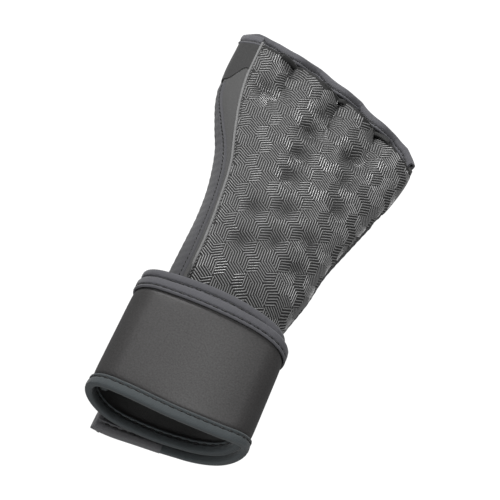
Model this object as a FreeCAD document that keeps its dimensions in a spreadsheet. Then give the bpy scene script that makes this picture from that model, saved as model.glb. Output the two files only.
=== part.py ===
import FreeCAD, Part
import math
import os

from FreeCAD import Placement, Rotation, Vector

# An open-back training hand grip for the left hand, lying on its back with the palm up.
# +Y runs from the wrist to the fingers, +X towards the little finger, +Z out of the palm.
# The origin is the middle of the footprint, on the plane that the grip lies on.
# A long wrist strap is wound twice round an oval wrist tunnel and ends in a tail under the
# wrist, which hook and loop hold shut. The hand part is a tapered tube: a printed palm
# panel, a plain gusset on the thumb side and a strip over the knuckles, with the back open.

doc = FreeCAD.newDocument("HandGrip")
sheet = doc.addObject("Spreadsheet::Sheet", "Dimensions")

DIMENSIONS = [
    # alias, millimetres or degrees, what it is
    ("cuff_x", -6.6, "middle of the wrist tunnel, from the middle of the footprint"),
    ("cuff_y", -72.25, "middle of the outer strap turn, from the middle of the footprint"),
    ("strap_width", 55.0, "width of the wrist strap"),
    ("strap_thick", 2.2, "thickness of the wrist strap"),
    ("turn_pitch", 3.2, "distance from one strap turn to the next"),
    ("closure_gap", 2.0, "room between the tail and the turn above it, for hook and loop"),
    ("tunnel_half_width", 31.0, "half the width of the wrist tunnel"),
    ("tunnel_floor", 7.1, "height of the tunnel's flat floor"),
    ("corner_low", 19.5, "radius of the tunnel's lower corners"),
    ("corner_high", 9.0, "radius of the tunnel's upper corners"),
    ("crown", 80.0, "radius of the tunnel's crown"),
    ("tail_sweep", 34.0, "degrees that the tail runs up the thumb side"),
    ("hinge_x", 3.0, "where the tail bends away, across the wrist"),
    ("hinge_gap", 0.35, "gap at the tail's bending line"),
    ("inner_turn_y", 5.2, "how far the inner turn sits towards the fingers"),
    ("outer_turn_y", 0.0, "the outer turn sits in the middle"),
    ("tail_y", -1.5, "how far the tail sits towards the wrist"),
    ("tape_width", 5.0, "width of the binding tape"),
    ("tape_proud", 0.7, "how far the binding tape stands proud on each side"),
    ("tape_over", 0.5, "how far the binding tape passes the strap's edge"),
    ("patch_width", 38.0, "width of the hook and loop patches"),
    ("hook_thick", 1.0, "thickness of the hook patch"),
    ("loop_thick", 0.6, "thickness of the loop patch"),
    ("panel_thick", 1.6, "thickness of the palm panel, gusset and knuckle strip"),
    ("foam_thick", 2.5, "thickness of the palm's foam pad"),
    ("lining_thick", 0.8, "thickness of the palm lining"),
    ("layer_gap", 0.2, "gap between the layers of the palm"),
    ("seam_gap", 0.25, "gap between a panel and the tape on its edge"),
    ("heel_y", 20.0, "where the palm's heel starts, inside the cuff"),
    ("web_thick", 1.6, "thickness of the webs between the fingers"),
    ("finger_channel", 17.0, "length of the finger channels"),
    ("edge_tape_width", 4.5, "width of the tape on the hand part's edges"),
    ("edge_tape_proud", 0.8, "how far that tape stands proud on each side"),
]
for row, (alias, value, note) in enumerate(DIMENSIONS, start=1):
    sheet.set(f"A{row}", note)
    sheet.set(f"B{row}", str(value))
    sheet.setAlias(f"B{row}", alias)
doc.recompute()

dim = {alias: float(sheet.get(alias)) for alias, _, _ in DIMENSIONS}
sub_parts = []


# ---------------------------------------------------------------- the wrist strap

def arc(cx, cz, radius, start, end):
    """A stretch of the strap's path: an arc in the XZ plane, in degrees from +X."""
    return ("arc", cx, cz, radius, math.radians(start), math.radians(end))


def line(x1, z1, x2, z2, out_x, out_z):
    """A straight stretch of the strap's path, with the direction that points outwards."""
    return ("line", x1, z1, x2, z2, out_x, out_z)


def strap_paths():
    """The inner face of the strap, seen from the wrist, in the order that it is wound."""
    half, low, high = dim["tunnel_half_width"], dim["corner_low"], dim["corner_high"]
    crown, floor, pitch = dim["crown"], dim["tunnel_floor"], dim["turn_pitch"]
    waist = floor + low
    crown_z = waist - math.sqrt((crown - high) ** 2 - (half - high) ** 2)
    meet = math.degrees(math.atan2(waist - crown_z, half - high))
    drop = dim["strap_thick"] + dim["closure_gap"] - pitch
    left = -(half - low) - pitch
    tail_z = floor - pitch - drop
    hinge_x = dim["hinge_x"]
    inner = [
        arc(-(half - high), waist, high, 180, 180 - meet),
        arc(0, crown_z, crown, 180 - meet, meet),
        arc(half - high, waist, high, meet, 0),
        arc(half - low, waist, low, 0, -90),
        line(half - low, floor, left, floor, 0, -1),
        arc(left, waist, low, -90, -180),
    ]
    outer = [
        arc(-(half - high), waist, high + pitch, 180, 180 - meet),
        arc(0, crown_z, crown + pitch, 180 - meet, meet),
        arc(half - high, waist, high + pitch, meet, 0),
        line(half + pitch, waist, half + pitch, waist - drop, 1, 0),
        arc(half - low, waist - drop, low + pitch, 0, -90),
        line(half - low, tail_z, hinge_x, tail_z, 0, -1),
    ]
    tail = [
        line(hinge_x - dim["hinge_gap"], tail_z, left, tail_z, 0, -1),
        arc(left, waist, low + pitch + drop, -90, -90 - dim["tail_sweep"]),
    ]
    return inner, outer, tail


def moved_out(stretch, out):
    """The stretch again, moved outwards: its start, its end and its sketch geometry."""
    if stretch[0] == "line":
        _, x1, z1, x2, z2, nx, nz = stretch
        a = Vector(x1 + nx * out, z1 + nz * out, 0)
        b = Vector(x2 + nx * out, z2 + nz * out, 0)
        return a, b, Part.LineSegment(a, b)
    _, cx, cz, radius, start, end = stretch
    circle = Part.Circle(Vector(cx, cz, 0), Vector(0, 0, 1), radius + out)
    a, b = circle.value(start), circle.value(end)
    return a, b, Part.ArcOfCircle(circle, min(start, end), max(start, end))


def outline(path, near, far):
    """The closed outline of a layer that lies from near to far outside the path."""
    inside = [moved_out(stretch, near) for stretch in path]
    outside = [moved_out(stretch, far) for stretch in path]
    caps = [
        Part.LineSegment(inside[0][0], outside[0][0]),
        Part.LineSegment(inside[-1][1], outside[-1][1]),
    ]
    return [piece[2] for piece in inside + outside] + caps


def padded_body(label, geometry, plane, length, place):
    """A body with one sketch padded both ways from its origin plane.
    length is an expression, and place has one expression for each of X, Y and Z."""
    body = doc.addObject("PartDesign::Body", label)
    body.Label = label
    sketch = body.newObject("Sketcher::SketchObject", label + "_outline")
    base = next(f for f in body.Origin.OriginFeatures if f.Role == plane)
    sketch.AttachmentSupport = [(base, "")]
    sketch.MapMode = "FlatFace"
    sketch.addGeometry(geometry, False)
    pad = body.newObject("PartDesign::Pad", label + "_pad")
    pad.Profile = sketch
    pad.Midplane = True
    pad.setExpression("Length", length)
    sketch.Visibility = False
    for axis, expression in zip("xyz", place):
        body.setExpression(f"Placement.Base.{axis}", expression)
    return body


def strap_layer(label, path, near, far, length, centre_y):
    """A layer of the strap: its outline padded along Y about centre_y, an expression."""
    place = ("Dimensions.cuff_x", f"Dimensions.cuff_y + {centre_y}", "0")
    return padded_body(label, outline(path, near, far), "XZ_Plane", length, place)


def add_turn(label, path, turn_y):
    """One turn of the strap, with the binding tape folded over each of its edges."""
    thick, proud = dim["strap_thick"], dim["tape_proud"]
    turn = strap_layer(label, path, 0, thick, "Dimensions.strap_width", turn_y)
    sub_parts.append(turn)
    reach = "(Dimensions.strap_width / 2 + Dimensions.tape_over - Dimensions.tape_width / 2)"
    for edge, sign in (("upper", "+"), ("lower", "-")):
        block = strap_layer(
            f"{label}_{edge}_tape_block",
            path,
            -proud,
            thick + proud,
            "Dimensions.tape_width",
            f"{turn_y} {sign} {reach}",
        )
        tape = doc.addObject("Part::Cut", f"{label}_{edge}_binding")
        tape.Label = f"{label}_{edge}_binding"
        tape.Base = block
        tape.Tool = turn
        sub_parts.append(tape)


inner_path, outer_path, tail_path = strap_paths()
add_turn("strap_inner_turn", inner_path, "Dimensions.inner_turn_y")
add_turn("strap_outer_turn", outer_path, "Dimensions.outer_turn_y")
add_turn("strap_tail", tail_path, "Dimensions.tail_y")


def add_closure():
    """The hook patch on the tail's upper face, and the loop patch on the turn above it."""
    floor_line, thumb_corner = inner_path[-2], inner_path[-1]
    _, _, floor_z, left, _, out_x, out_z = floor_line
    patch_start = dim["hinge_x"] - 5.0
    hook_sweep = dim["tail_sweep"] - 6.0
    tail_z = tail_path[0][2]
    hook = [
        line(patch_start, tail_z, left, tail_z, out_x, out_z),
        arc(left, tail_path[1][2], tail_path[1][3], -90, -90 - hook_sweep),
    ]
    loop = [
        line(patch_start + 4.0, floor_z, left, floor_z, out_x, out_z),
        arc(left, thumb_corner[2], thumb_corner[3], -90, -90 - dim["tail_sweep"]),
    ]
    thick = dim["strap_thick"]
    width = "Dimensions.patch_width"
    sub_parts.append(
        strap_layer("hook_patch", hook, -dim["hook_thick"], 0, width, "Dimensions.tail_y")
    )
    sub_parts.append(
        strap_layer("loop_patch", loop, thick, thick + dim["loop_thick"], width, "2.5")
    )


add_closure()


# ---------------------------------------------------------------- the hand part

# The hand part's outer form, as sections from the wrist to the fingers, measured from the
# middle of the cuff: y, thumb side, little finger side, lowest height and highest height.
SECTIONS = [
    (14.0, -26.0, 28.0, 9.0, 36.4),
    (34.0, -25.0, 29.7, 9.0, 37.0),
    (54.0, -24.3, 34.4, 8.0, 38.0),
    (70.0, -24.0, 36.8, 6.5, 37.9),
    (86.0, -25.2, 41.3, 4.5, 36.4),
    (104.0, -29.0, 46.7, 2.5, 33.6),
    (116.0, -33.8, 50.5, 1.6, 31.2),
    (129.0, -38.4, 53.2, 1.1, 28.4),
    (143.0, -40.4, 54.0, 0.9, 26.0),
    (158.0, -40.2, 54.0, 0.85, 24.4),
    (176.0, -39.6, 53.8, 0.85, 23.6),
]
# The seam between the printed palm and the plain gusset: y and x.
PRINT_EDGE = [
    (14.0, -17.8),
    (37.0, -17.6),
    (56.0, -17.4),
    (76.0, -18.6),
    (96.5, -20.9),
    (114.0, -25.5),
    (130.6, -29.3),
    (146.6, -31.0),
    (176.0, -30.4),
]
# The tape on the thumb side of the open back, measured round the form: y and width.
THUMB_TAPE = [
    (20.0, 12.4),
    (34.0, 12.5),
    (50.0, 12.5),
    (66.0, 11.8),
    (80.0, 11.3),
    (95.0, 10.9),
    (109.0, 9.3),
    (120.0, 7.6),
    (130.0, 5.8),
    (140.0, 5.2),
]
SQUARENESS = 2.4  # 2 is an ellipse, and more is squarer
SIDE_SEAM = -8.0  # degrees: where palm and knuckle strip meet on the little finger side
THUMB_EDGE = 181.0  # degrees: the edge of the open back on the thumb side


def smooth(table, y):
    """A smooth curve through the rows of a table, read at y. The first column is y."""
    rows = [r for r in table]
    k = max(i for i in range(len(rows) - 1) if rows[i][0] <= y or i == 0)
    below, above = rows[k], rows[k + 1]
    before, after = rows[max(k - 1, 0)], rows[min(k + 2, len(rows) - 1)]
    step = above[0] - below[0]
    t = min(max((y - below[0]) / step, 0.0), 1.0)
    found = []
    for c in range(1, len(below)):
        slope_a = (above[c] - before[c]) / (above[0] - before[0]) * step
        slope_b = (after[c] - below[c]) / (after[0] - below[0]) * step
        found.append(
            (2 * t**3 - 3 * t**2 + 1) * below[c]
            + (t**3 - 2 * t**2 + t) * slope_a
            + (3 * t**2 - 2 * t**3) * above[c]
            + (t**3 - t**2) * slope_b
        )
    return found


def on_form(angle, y, inset):
    """The point of the hand's form at that angle round the section, in degrees from +X."""
    left, right, low, high = smooth(SECTIONS, y)
    a, b = (right - left) / 2 - inset, (high - low) / 2 - inset
    c, s = math.cos(math.radians(angle)), math.sin(math.radians(angle))
    power = 2 / SQUARENESS
    return Vector(
        (left + right) / 2 + a * math.copysign(abs(c) ** power, c),
        y,
        (low + high) / 2 + b * math.copysign(abs(s) ** power, s),
    )


def print_edge_angle(y):
    """The angle of the seam between the printed palm and the gusset."""
    left, right, _, _ = smooth(SECTIONS, y)
    (x,) = smooth(PRINT_EDGE, y)
    across = abs((x - (left + right) / 2) / ((right - left) / 2))
    return 180 - math.degrees(math.acos(across ** (SQUARENESS / 2)))


def palm_top(x):
    """How far the palm's finger edge reaches, at x."""
    return 157.5 - 0.27 * x - 0.0022 * x * x


def back_top(x, z):
    """How far the knuckle strip's and the gusset's finger edge reaches, tape included."""
    return 171.0 - 0.22 * x - 0.0042 * x * x - 0.95 * max(0.0, z - 6.0)


def back_bottom(x):
    """Where the knuckle strip starts, tape included."""
    return 124.0 - 0.30 * x


def top_at(angle, rule):
    """The end of a panel at that angle, by a rule of the point where it ends."""
    y = 155.0
    for _ in range(6):
        p = on_form(angle, y, 0)
        y = rule(p)
    return y


def sheet_solid(label, point, columns, rows, outer, inner):
    """A closed solid between two insets of the form.
    point(s, f, inset) gives a corner of its grid, with s and f from 0 to 1."""
    faces, borders = [], []
    for inset in (outer, inner):
        grid = [
            [point(i / columns, j / rows, inset) for j in range(rows + 1)]
            for i in range(columns + 1)
        ]
        surface = Part.BSplineSurface()
        surface.interpolate(grid)
        faces.append(surface.toShape())
        u0, u1, v0, v1 = surface.bounds()
        borders.append(
            [
                surface.uIso(u0).toShape(v0, v1),
                surface.uIso(u1).toShape(v0, v1),
                surface.vIso(v0).toShape(u0, u1),
                surface.vIso(v1).toShape(u0, u1),
            ]
        )
    for a, b in zip(*borders):
        faces.append(Part.makeRuledSurface(a, b, 1))
    shell = Part.makeShell(faces)
    shell.sewShape()
    solid = Part.makeSolid(shell)
    if solid.Volume < 0:
        solid.reverse()
    solid.fix(1e-4, 1e-4, 1e-3)
    feature = doc.addObject("Part::Feature", label)
    feature.Label = label
    feature.Shape = solid
    feature.setExpression("Placement.Base.x", "Dimensions.cuff_x")
    feature.setExpression("Placement.Base.y", "Dimensions.cuff_y")
    sub_parts.append(feature)
    return feature


def between(a, b, t):
    return a + (b - a) * t


tape = dim["edge_tape_width"]
proud = dim["edge_tape_proud"]
panel = dim["panel_thick"]
seam = dim["seam_gap"]


def palm_layer(label, start_y, end_short, right, left_short, outer, thick):
    """A layer of the palm, from the little finger side to the print edge."""

    def point(s, f, inset):
        y = start_y
        for _ in range(6):
            angle = between(right, print_edge_angle(y) - left_short, s)
            x = on_form(angle, y, 0).x
            y = between(start_y, palm_top(x) - end_short, f)
        return on_form(angle, y, inset)

    return sheet_solid(label, point, 14, 12, outer, outer + thick)


foam_at = panel + dim["layer_gap"]
lining_at = foam_at + dim["foam_thick"] + dim["layer_gap"]
palm_layer("palm_panel", dim["heel_y"], 0.0, SIDE_SEAM, 0.0, 0.0, panel)
palm_layer("palm_foam_pad", 42.0, 24.0, 22.0, 8.0, foam_at, dim["foam_thick"])
palm_layer("palm_lining", 24.0, 22.0, 4.0, 3.0, lining_at, dim["lining_thick"])


def angle_beyond(seam_angle, y, distance):
    """The angle that lies a distance round the form, in mm, from the seam at that y."""
    steps = 40
    step = math.copysign(60.0 / steps, distance)
    walked, angle = 0.0, seam_angle
    for _ in range(steps):
        stride = (on_form(angle + step, y, 0) - on_form(angle, y, 0)).Length
        if walked + stride >= abs(distance):
            return angle + step * (abs(distance) - walked) / stride
        walked += stride
        angle += step
    return angle


def gusset_point(s, f, inset):
    """The gusset lies between the print edge and the tape on the thumb side."""
    y = 110.0
    for _ in range(6):
        far = angle_beyond(THUMB_EDGE, y, -(smooth(THUMB_TAPE, y)[0] + seam))
        angle = between(print_edge_angle(y) + 0.4, far, s)
        x = on_form(angle, y, 0).x
        y = between(dim["heel_y"], back_bottom(x) + tape, f)
    return on_form(angle, y, inset)


sheet_solid("thumb_gusset", gusset_point, 4, 14, 0.0, panel)


def strip_point(s, f, inset):
    """The knuckle strip runs from the print edge round the back to the side seam."""
    angle = between(print_edge_angle(150.0) + 0.8, 360 + SIDE_SEAM - 0.4, s)
    low = top_at(angle, lambda p: back_bottom(p.x) + tape + 2 * seam)
    high = top_at(angle, lambda p: back_top(p.x, p.z) - tape - seam)
    return on_form(angle, between(low, high, f), inset)


sheet_solid("knuckle_strip", strip_point, 24, 5, 0.0, panel)


def finger_tape_point(s, f, inset):
    first = print_edge_angle(160.0) + 0.4
    angle = between(first, 360 + SIDE_SEAM - 0.4, s)
    high = top_at(angle, lambda p: back_top(p.x, p.z))
    return on_form(angle, between(high - tape, high, f), inset)


sheet_solid("finger_edge_binding", finger_tape_point, 24, 2, -proud, panel + proud)


def knuckle_tape_point(s, f, inset):
    angle = between(THUMB_EDGE + 6.0, 360 + SIDE_SEAM - 6.0, s)
    low = top_at(angle, lambda p: back_bottom(p.x))
    return on_form(angle, between(low, low + tape, f), inset)


sheet_solid("knuckle_lower_binding", knuckle_tape_point, 16, 2, -proud, panel + proud)


def side_tape(label, edge_angle, width_at, end_y, columns):
    """The tape on one side of the open back, from inside the cuff to the knuckle strip.
    It covers a width of the form, in mm, measured round the form from its edge."""
    start_y = dim["inner_turn_y"] + dim["strap_width"] / 2 + 1.0

    def point(s, f, inset):
        y = between(start_y, end_y, f)
        return on_form(angle_beyond(edge_angle, y, -s * width_at(y)), y, inset)

    return sheet_solid(label, point, columns, 12, -proud, panel + proud)


side_tape("thumb_side_binding", THUMB_EDGE, lambda y: smooth(THUMB_TAPE, y)[0], 134.0, 5)
side_tape("little_finger_side_binding", SIDE_SEAM - 0.6, lambda y: tape, 106.0, 3)


def heel_tape_point(s, f, inset):
    return on_form(between(118.0, 62.0, s), between(21.0, 28.5, f), inset)


sheet_solid("heel_seam_tape", heel_tape_point, 6, 3, -1.0, -0.3)


def add_web(label, x):
    """The web between two fingers: an upright sheet from the knuckle strip to the palm."""
    end = palm_top(x) - 0.5
    start = end - dim["finger_channel"]
    clear = panel + dim["layer_gap"] + 0.3
    corners = []
    for y in (start, end):
        left, right, _, _ = smooth(SECTIONS, y)
        across = (x - (left + right) / 2) / ((right - left) / 2)
        angle = math.degrees(math.acos(math.copysign(abs(across) ** (SQUARENESS / 2), across)))
        corners.append((y, on_form(-angle, y, clear).z, on_form(angle, y, clear).z))
    (y1, low1, high1), (y2, low2, high2) = corners
    loop = [
        Vector(y1, low1, 0),
        Vector(y2, low2, 0),
        Vector(y2, high2, 0),
        Vector(y1, high1, 0),
    ]
    sides = [Part.LineSegment(loop[i], loop[(i + 1) % 4]) for i in range(4)]
    place = (f"Dimensions.cuff_x + {x}", "Dimensions.cuff_y", "0")
    sub_parts.append(
        padded_body(label, sides, "YZ_Plane", "Dimensions.web_thick", place)
    )


add_web("finger_web_index_middle", -13.5)
add_web("finger_web_middle_ring", 11.5)
add_web("finger_web_ring_little", 32.0)


# ---------------------------------------------------------------- check and write

doc.recompute()
for item in doc.Objects:
    bad = {"Invalid", "Error"} & set(item.State)
    if bad:
        raise RuntimeError(f"{item.Label} is {sorted(bad)}")
os.makedirs("parts", exist_ok=True)
total = FreeCAD.BoundBox()
for item in sub_parts:
    shape = item.Shape
    if shape.isNull() or not shape.isValid() or not shape.Solids:
        raise RuntimeError(f"{item.Label} has no valid solid")
    total.add(shape.BoundBox)
    shape.exportStep(f"parts/{item.Label}.step")
    print(f"{item.Label:34s} solids {len(shape.Solids)}  volume {shape.Volume:9.1f} mm3")
print(
    f"box X {total.XMin:.1f} to {total.XMax:.1f}, Y {total.YMin:.1f} to {total.YMax:.1f},"
    f" Z {total.ZMin:.2f} to {total.ZMax:.1f}"
)
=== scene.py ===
import math

import bmesh
import bpy
import numpy as np
from mathutils import Matrix, Vector


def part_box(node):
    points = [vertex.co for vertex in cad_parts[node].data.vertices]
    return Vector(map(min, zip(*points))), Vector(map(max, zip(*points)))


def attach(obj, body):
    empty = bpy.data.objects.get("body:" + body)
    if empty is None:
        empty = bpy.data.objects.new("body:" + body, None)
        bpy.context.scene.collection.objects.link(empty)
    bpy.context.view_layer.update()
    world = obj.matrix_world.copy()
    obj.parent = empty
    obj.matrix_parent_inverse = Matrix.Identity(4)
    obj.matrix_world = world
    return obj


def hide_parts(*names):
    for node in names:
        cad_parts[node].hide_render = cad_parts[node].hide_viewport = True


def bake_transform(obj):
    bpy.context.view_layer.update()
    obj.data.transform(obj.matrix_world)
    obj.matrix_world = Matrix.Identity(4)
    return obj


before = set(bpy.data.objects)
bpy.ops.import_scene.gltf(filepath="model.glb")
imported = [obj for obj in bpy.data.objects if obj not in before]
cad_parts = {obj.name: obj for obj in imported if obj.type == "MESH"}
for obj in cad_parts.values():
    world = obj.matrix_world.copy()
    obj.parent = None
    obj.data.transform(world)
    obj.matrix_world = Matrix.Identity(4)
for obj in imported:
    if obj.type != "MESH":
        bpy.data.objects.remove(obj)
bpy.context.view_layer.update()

# Shapes are worked out in millimetres from the middle of the cuff, and placed at the end.
# +Y runs from the wrist to the fingers, +X towards the little finger, +Z out of the palm.
cuff_low, cuff_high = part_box("strap_outer_turn")
CUFF = np.array([(cuff_low.x + cuff_high.x) / 2, (cuff_low.y + cuff_high.y) / 2, 0.0])
MM = 0.001
UV_UNIT = 10.0  # millimetres to one UV unit


# ---- the form, as in part.py

# y, then the section's lowest and highest x, and its lowest and highest z.
SECTIONS = np.array([
    (14.0, -26.0, 28.0, 9.0, 36.4), (34.0, -25.0, 29.7, 9.0, 37.0),
    (54.0, -24.3, 34.4, 8.0, 38.0), (70.0, -24.0, 36.8, 6.5, 37.9),
    (86.0, -25.2, 41.3, 4.5, 36.4), (104.0, -29.0, 46.7, 2.5, 33.6),
    (116.0, -33.8, 50.5, 1.6, 31.2), (129.0, -38.4, 53.2, 1.1, 28.4),
    (143.0, -40.4, 54.0, 0.9, 26.0), (158.0, -40.2, 54.0, 0.85, 24.4),
    (176.0, -39.6, 53.8, 0.85, 23.6),
])
# y and x of the seam between the print and the plain panel on the thumb side.
PRINT_EDGE = np.array([
    (14.0, -17.8), (37.0, -17.6), (56.0, -17.4), (76.0, -18.6), (96.5, -20.9),
    (114.0, -25.5), (130.6, -29.3), (146.6, -31.0), (176.0, -30.4),
])
# The tape on the thumb side of the open back, measured round the form: y and width.
THUMB_TAPE = np.array([
    (20.0, 12.4), (34.0, 12.5), (50.0, 12.5), (66.0, 11.8), (80.0, 11.3),
    (95.0, 10.9), (109.0, 9.3), (120.0, 7.6), (130.0, 5.8), (140.0, 5.2),
])
SQUARENESS = 2.4  # 2 is an ellipse, and more is squarer
SIDE_SEAM = -8.0  # angle of the seam on the little finger side
THUMB_EDGE = 181.0  # angle of the open back's edge on the thumb side
PANEL = 1.6  # thickness of the hand's cloth
# Between two fingers the palm has a wide valley and a narrow crease.
WEB_REACH = 12.0
VALLEY_DEEP = 7.4
CREASE_DEEP, CREASE_WIDE = 2.6, 1.7
# The cuff pulls the palm in: how much, where, and over what length.
CUFF_PULL, CUFF_PULL_Y, CUFF_PULL_WIDE = 3.0, 30.0, 11.0
# Where the fingers part: x of the web, and y of the pit at its foot.
WEBS = ((-13.5, 140.3), (11.5, 133.6), (32.0, 127.0))
# The hollows at the foot of each web: x and y from the pit, share of y, width, depth.
WEB_PITS = ((-1.0, -1.5, 0.8, 3.4, 2.6), (-6.0, -3.0, 1.0, 5.0, 0.8))
# Wide soft dents of the worn palm, and small pits in step with its print: x, y, width, depth.
DENTS = ((-20.0, 146.0, 6.0, 0.9), (3.0, 146.0, 6.0, 0.8), (24.0, 140.0, 5.0, 0.7))
PITS = (
    (-22.0, 141.0, 3.4, 1.2), (7.0, 141.5, 3.4, 1.3), (5.0, 127.5, 3.0, 3.0), (25.5, 124.5, 3.0, 3.0),
    (5.0, 114.0, 3.0, 2.4), (27.0, 111.0, 3.4, 1.4), (5.0, 101.0, 3.0, 1.9), (29.0, 96.0, 3.2, 1.2),
    (9.5, 84.0, 3.2, 1.5), (-3.5, 79.0, 3.2, 1.5), (24.0, 75.0, 3.2, 1.5), (10.5, 68.0, 3.2, 1.5),
    (-3.0, 62.0, 3.2, 1.5), (24.0, 60.0, 3.2, 1.5),
)


def smooth(table, y):
    """A smooth curve through the rows of a table, read at every y. Column 0 is y."""
    y = np.asarray(y, float)
    k = np.clip(np.searchsorted(table[:, 0], y, side="right") - 1, 0, len(table) - 2)
    below, above = table[k], table[k + 1]
    before, after = table[np.maximum(k - 1, 0)], table[np.minimum(k + 2, len(table) - 1)]
    step = (above[..., 0] - below[..., 0])[..., None]
    t = np.clip((y[..., None] - below[..., :1]) / step, 0, 1)
    slope_a = (above - before) / (above[..., :1] - before[..., :1]) * step
    slope_b = (after - below) / (after[..., :1] - below[..., :1]) * step
    found = (
        (2 * t**3 - 3 * t**2 + 1) * below
        + (t**3 - 2 * t**2 + t) * slope_a
        + (3 * t**2 - 2 * t**3) * above
        + (t**3 - t**2) * slope_b
    )
    return found[..., 1:]


def step_up(t):
    """From 0 to 1, smoothly, as t goes from 0 to 1."""
    t = np.clip(t, 0, 1)
    return t * t * (3 - 2 * t)


def section(y):
    """The lowest and highest x, and the lowest and highest z, of the form at y."""
    return np.moveaxis(smooth(SECTIONS, y), -1, 0)


def on_form(angle, y, inset=0.0):
    """Points of the hand's form at those angles round the section, in degrees from +X."""
    angle, y = np.broadcast_arrays(np.asarray(angle, float), np.asarray(y, float))
    left, right, low, high = section(y)
    a, b = (right - left) / 2 - inset, (high - low) / 2 - inset
    c, s = np.cos(np.radians(angle)), np.sin(np.radians(angle))
    power = 2 / SQUARENESS
    x = (left + right) / 2 + a * np.copysign(np.abs(c) ** power, c)
    z = (low + high) / 2 + b * np.copysign(np.abs(s) ** power, s)
    return np.stack([x, y, z], -1)


def print_edge_angle(y):
    """The angle of the seam between the print and the plain panel."""
    left, right, _, _ = section(y)
    x = smooth(PRINT_EDGE, y)[..., 0]
    across = np.abs((x - (left + right) / 2) / ((right - left) / 2))
    return 180 - np.degrees(np.arccos(across ** (SQUARENESS / 2)))


def angle_beyond(seam_angle, y, distance):
    """The angle that lies a distance round the form, in mm, from the seam at that y."""
    angle, y, left_over = np.broadcast_arrays(seam_angle, y, np.abs(distance))
    step = np.copysign(1.5, distance)
    for _ in range(40):
        stride = np.linalg.norm(on_form(angle + step, y) - on_form(angle, y), axis=-1)
        share = np.clip(left_over / np.maximum(stride, 1e-6), 0, 1)
        angle = angle + step * share
        left_over = left_over - stride * share
    return angle


def web_share(x):
    """How near x is to a web between two fingers: 1 on it, 0 from its reach away."""
    return sum(np.clip(1 - np.abs(x - w) / WEB_REACH, 0, 1) ** 2 for w, _ in WEBS)


def palm_top(x):
    """Where the palm ends at the fingers."""
    return 155.2 - 0.27 * x - 0.0022 * x * x + 2.8 * web_share(x)


def back_top(x, z):
    """Where the knuckle strip ends at the fingers, tape included."""
    thumb = step_up((-18.0 - x) / 12)
    rounded = 0.7 * thumb + 0.026 * np.maximum(0.0, -30.0 - x) ** 2
    slope = 0.95 - 0.35 * thumb
    return 171.0 - 0.22 * x - 0.0042 * x * x - slope * np.maximum(0.0, z - 6.0) - rounded


def back_bottom(x):
    """Where the knuckle strip starts over the open back, tape included."""
    return 124.0 - 0.30 * x


def strip_start(p):
    """Where the knuckle strip's cloth starts: beside the print its seam curves up."""
    beside = step_up((p[..., 0] + 39.0) / 7) * step_up((p[..., 2] - 6.0) / 8)
    front = step_up((-24.0 - p[..., 0]) / 5)
    return back_bottom(p[..., 0]) + 9.5 * beside * front


def hollow(x, y, wide, deep):
    """The depth of a round hollow at x and y from its middle."""
    return deep * np.exp(-(x**2 + y**2) / (2 * wide**2))


def palm_relief(x, y):
    """How far the palm stands above its plain form: valleys, creases, hollows and the cuff's pull."""
    height = np.zeros(np.broadcast(x, y).shape)
    for w, pit in WEBS:
        length = palm_top(w) - pit
        ramp = step_up((y - pit + 5) / (length + 5))
        away = np.abs(x - w)
        height = height - VALLEY_DEEP * ramp * np.clip(1 - away / WEB_REACH, 0, 1) ** 2
        height = height - CREASE_DEEP * np.sqrt(ramp) * np.exp(-away / CREASE_WIDE)
        for beside, below, squeeze, wide, deep in WEB_PITS:
            height = height - hollow(x - w - beside, (y - pit - below) * squeeze, wide, deep)
    for x0, y0, wide, deep in DENTS + PITS:
        height = height - hollow(x - x0, y - y0, wide, deep)
    return height - CUFF_PULL * np.exp(-(((y - CUFF_PULL_Y) / CUFF_PULL_WIDE) ** 2))


def palm_surface(angle, y, inset=0.0):
    """The palm, valleys included."""
    p = on_form(angle, y, inset)
    p[..., 2] += palm_relief(p[..., 0], p[..., 1]) * step_up(np.sin(np.radians(angle)) * 2.2)
    return p


def back_surface(angle, y):
    """The gusset and the knuckle strip, lifted to the palm between the fingers."""
    p = on_form(angle, y)
    x, y = p[..., 0], p[..., 1]
    lift = np.zeros(x.shape)
    for w, _ in WEBS:
        end = back_top(w, 12.0)
        ramp = step_up((y - end + 24) / 24)
        away = np.abs(x - w)
        lift = lift + ramp * 8.6 * np.exp(-((away / 6.5) ** 2))
    under = step_up(-np.sin(np.radians(angle)) * 2.5)
    p[..., 2] += lift * under
    return p


def top_at(angle, rule, point):
    """Where a panel ends at those angles, by a rule of the point where it ends."""
    y = np.full(np.shape(angle), 155.0)
    for _ in range(12):
        y = 0.5 * y + 0.5 * rule(point(angle, y))
    return y


def finger_edge(angle):
    """Where the knuckle strip ends: the webs pull its edge up, and a little back."""
    y = np.full(np.shape(angle), 155.0)
    for _ in range(14):
        plain = on_form(angle, y)
        raised = back_surface(angle, y)[..., 2] - plain[..., 2]
        y = 0.5 * y + 0.5 * (back_top(plain[..., 0], plain[..., 2]) - 0.53 * raised)
    return y


# ---- mesh helpers


def unit(v):
    return v / np.maximum(np.linalg.norm(v, axis=-1, keepdims=True), 1e-9)


def along(points):
    """The direction of a line of points at each of them."""
    return unit(np.gradient(points, axis=0))


def grid(columns, rows):
    """Shares from 0 to 1 along the columns and the rows of a lattice."""
    return np.meshgrid(np.linspace(0, 1, columns), np.linspace(0, 1, rows), indexing="ij")


def grid_normals(p):
    return unit(np.cross(np.gradient(p, axis=0), np.gradient(p, axis=1)))


def palmward(normals):
    """Normals of a lattice on the palm, turned so that they point out of the hand."""
    return normals * np.sign(normals[normals.shape[0] // 2, normals.shape[1] // 2, 2])


def lengths(points, axis=0):
    """The distance run along the points, from 0."""
    d = np.linalg.norm(np.diff(points, axis=axis), axis=-1)
    zero = np.zeros_like(np.take(d, [0], axis=axis))
    return np.cumsum(np.concatenate([zero, d], axis=axis), axis=axis)


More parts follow.
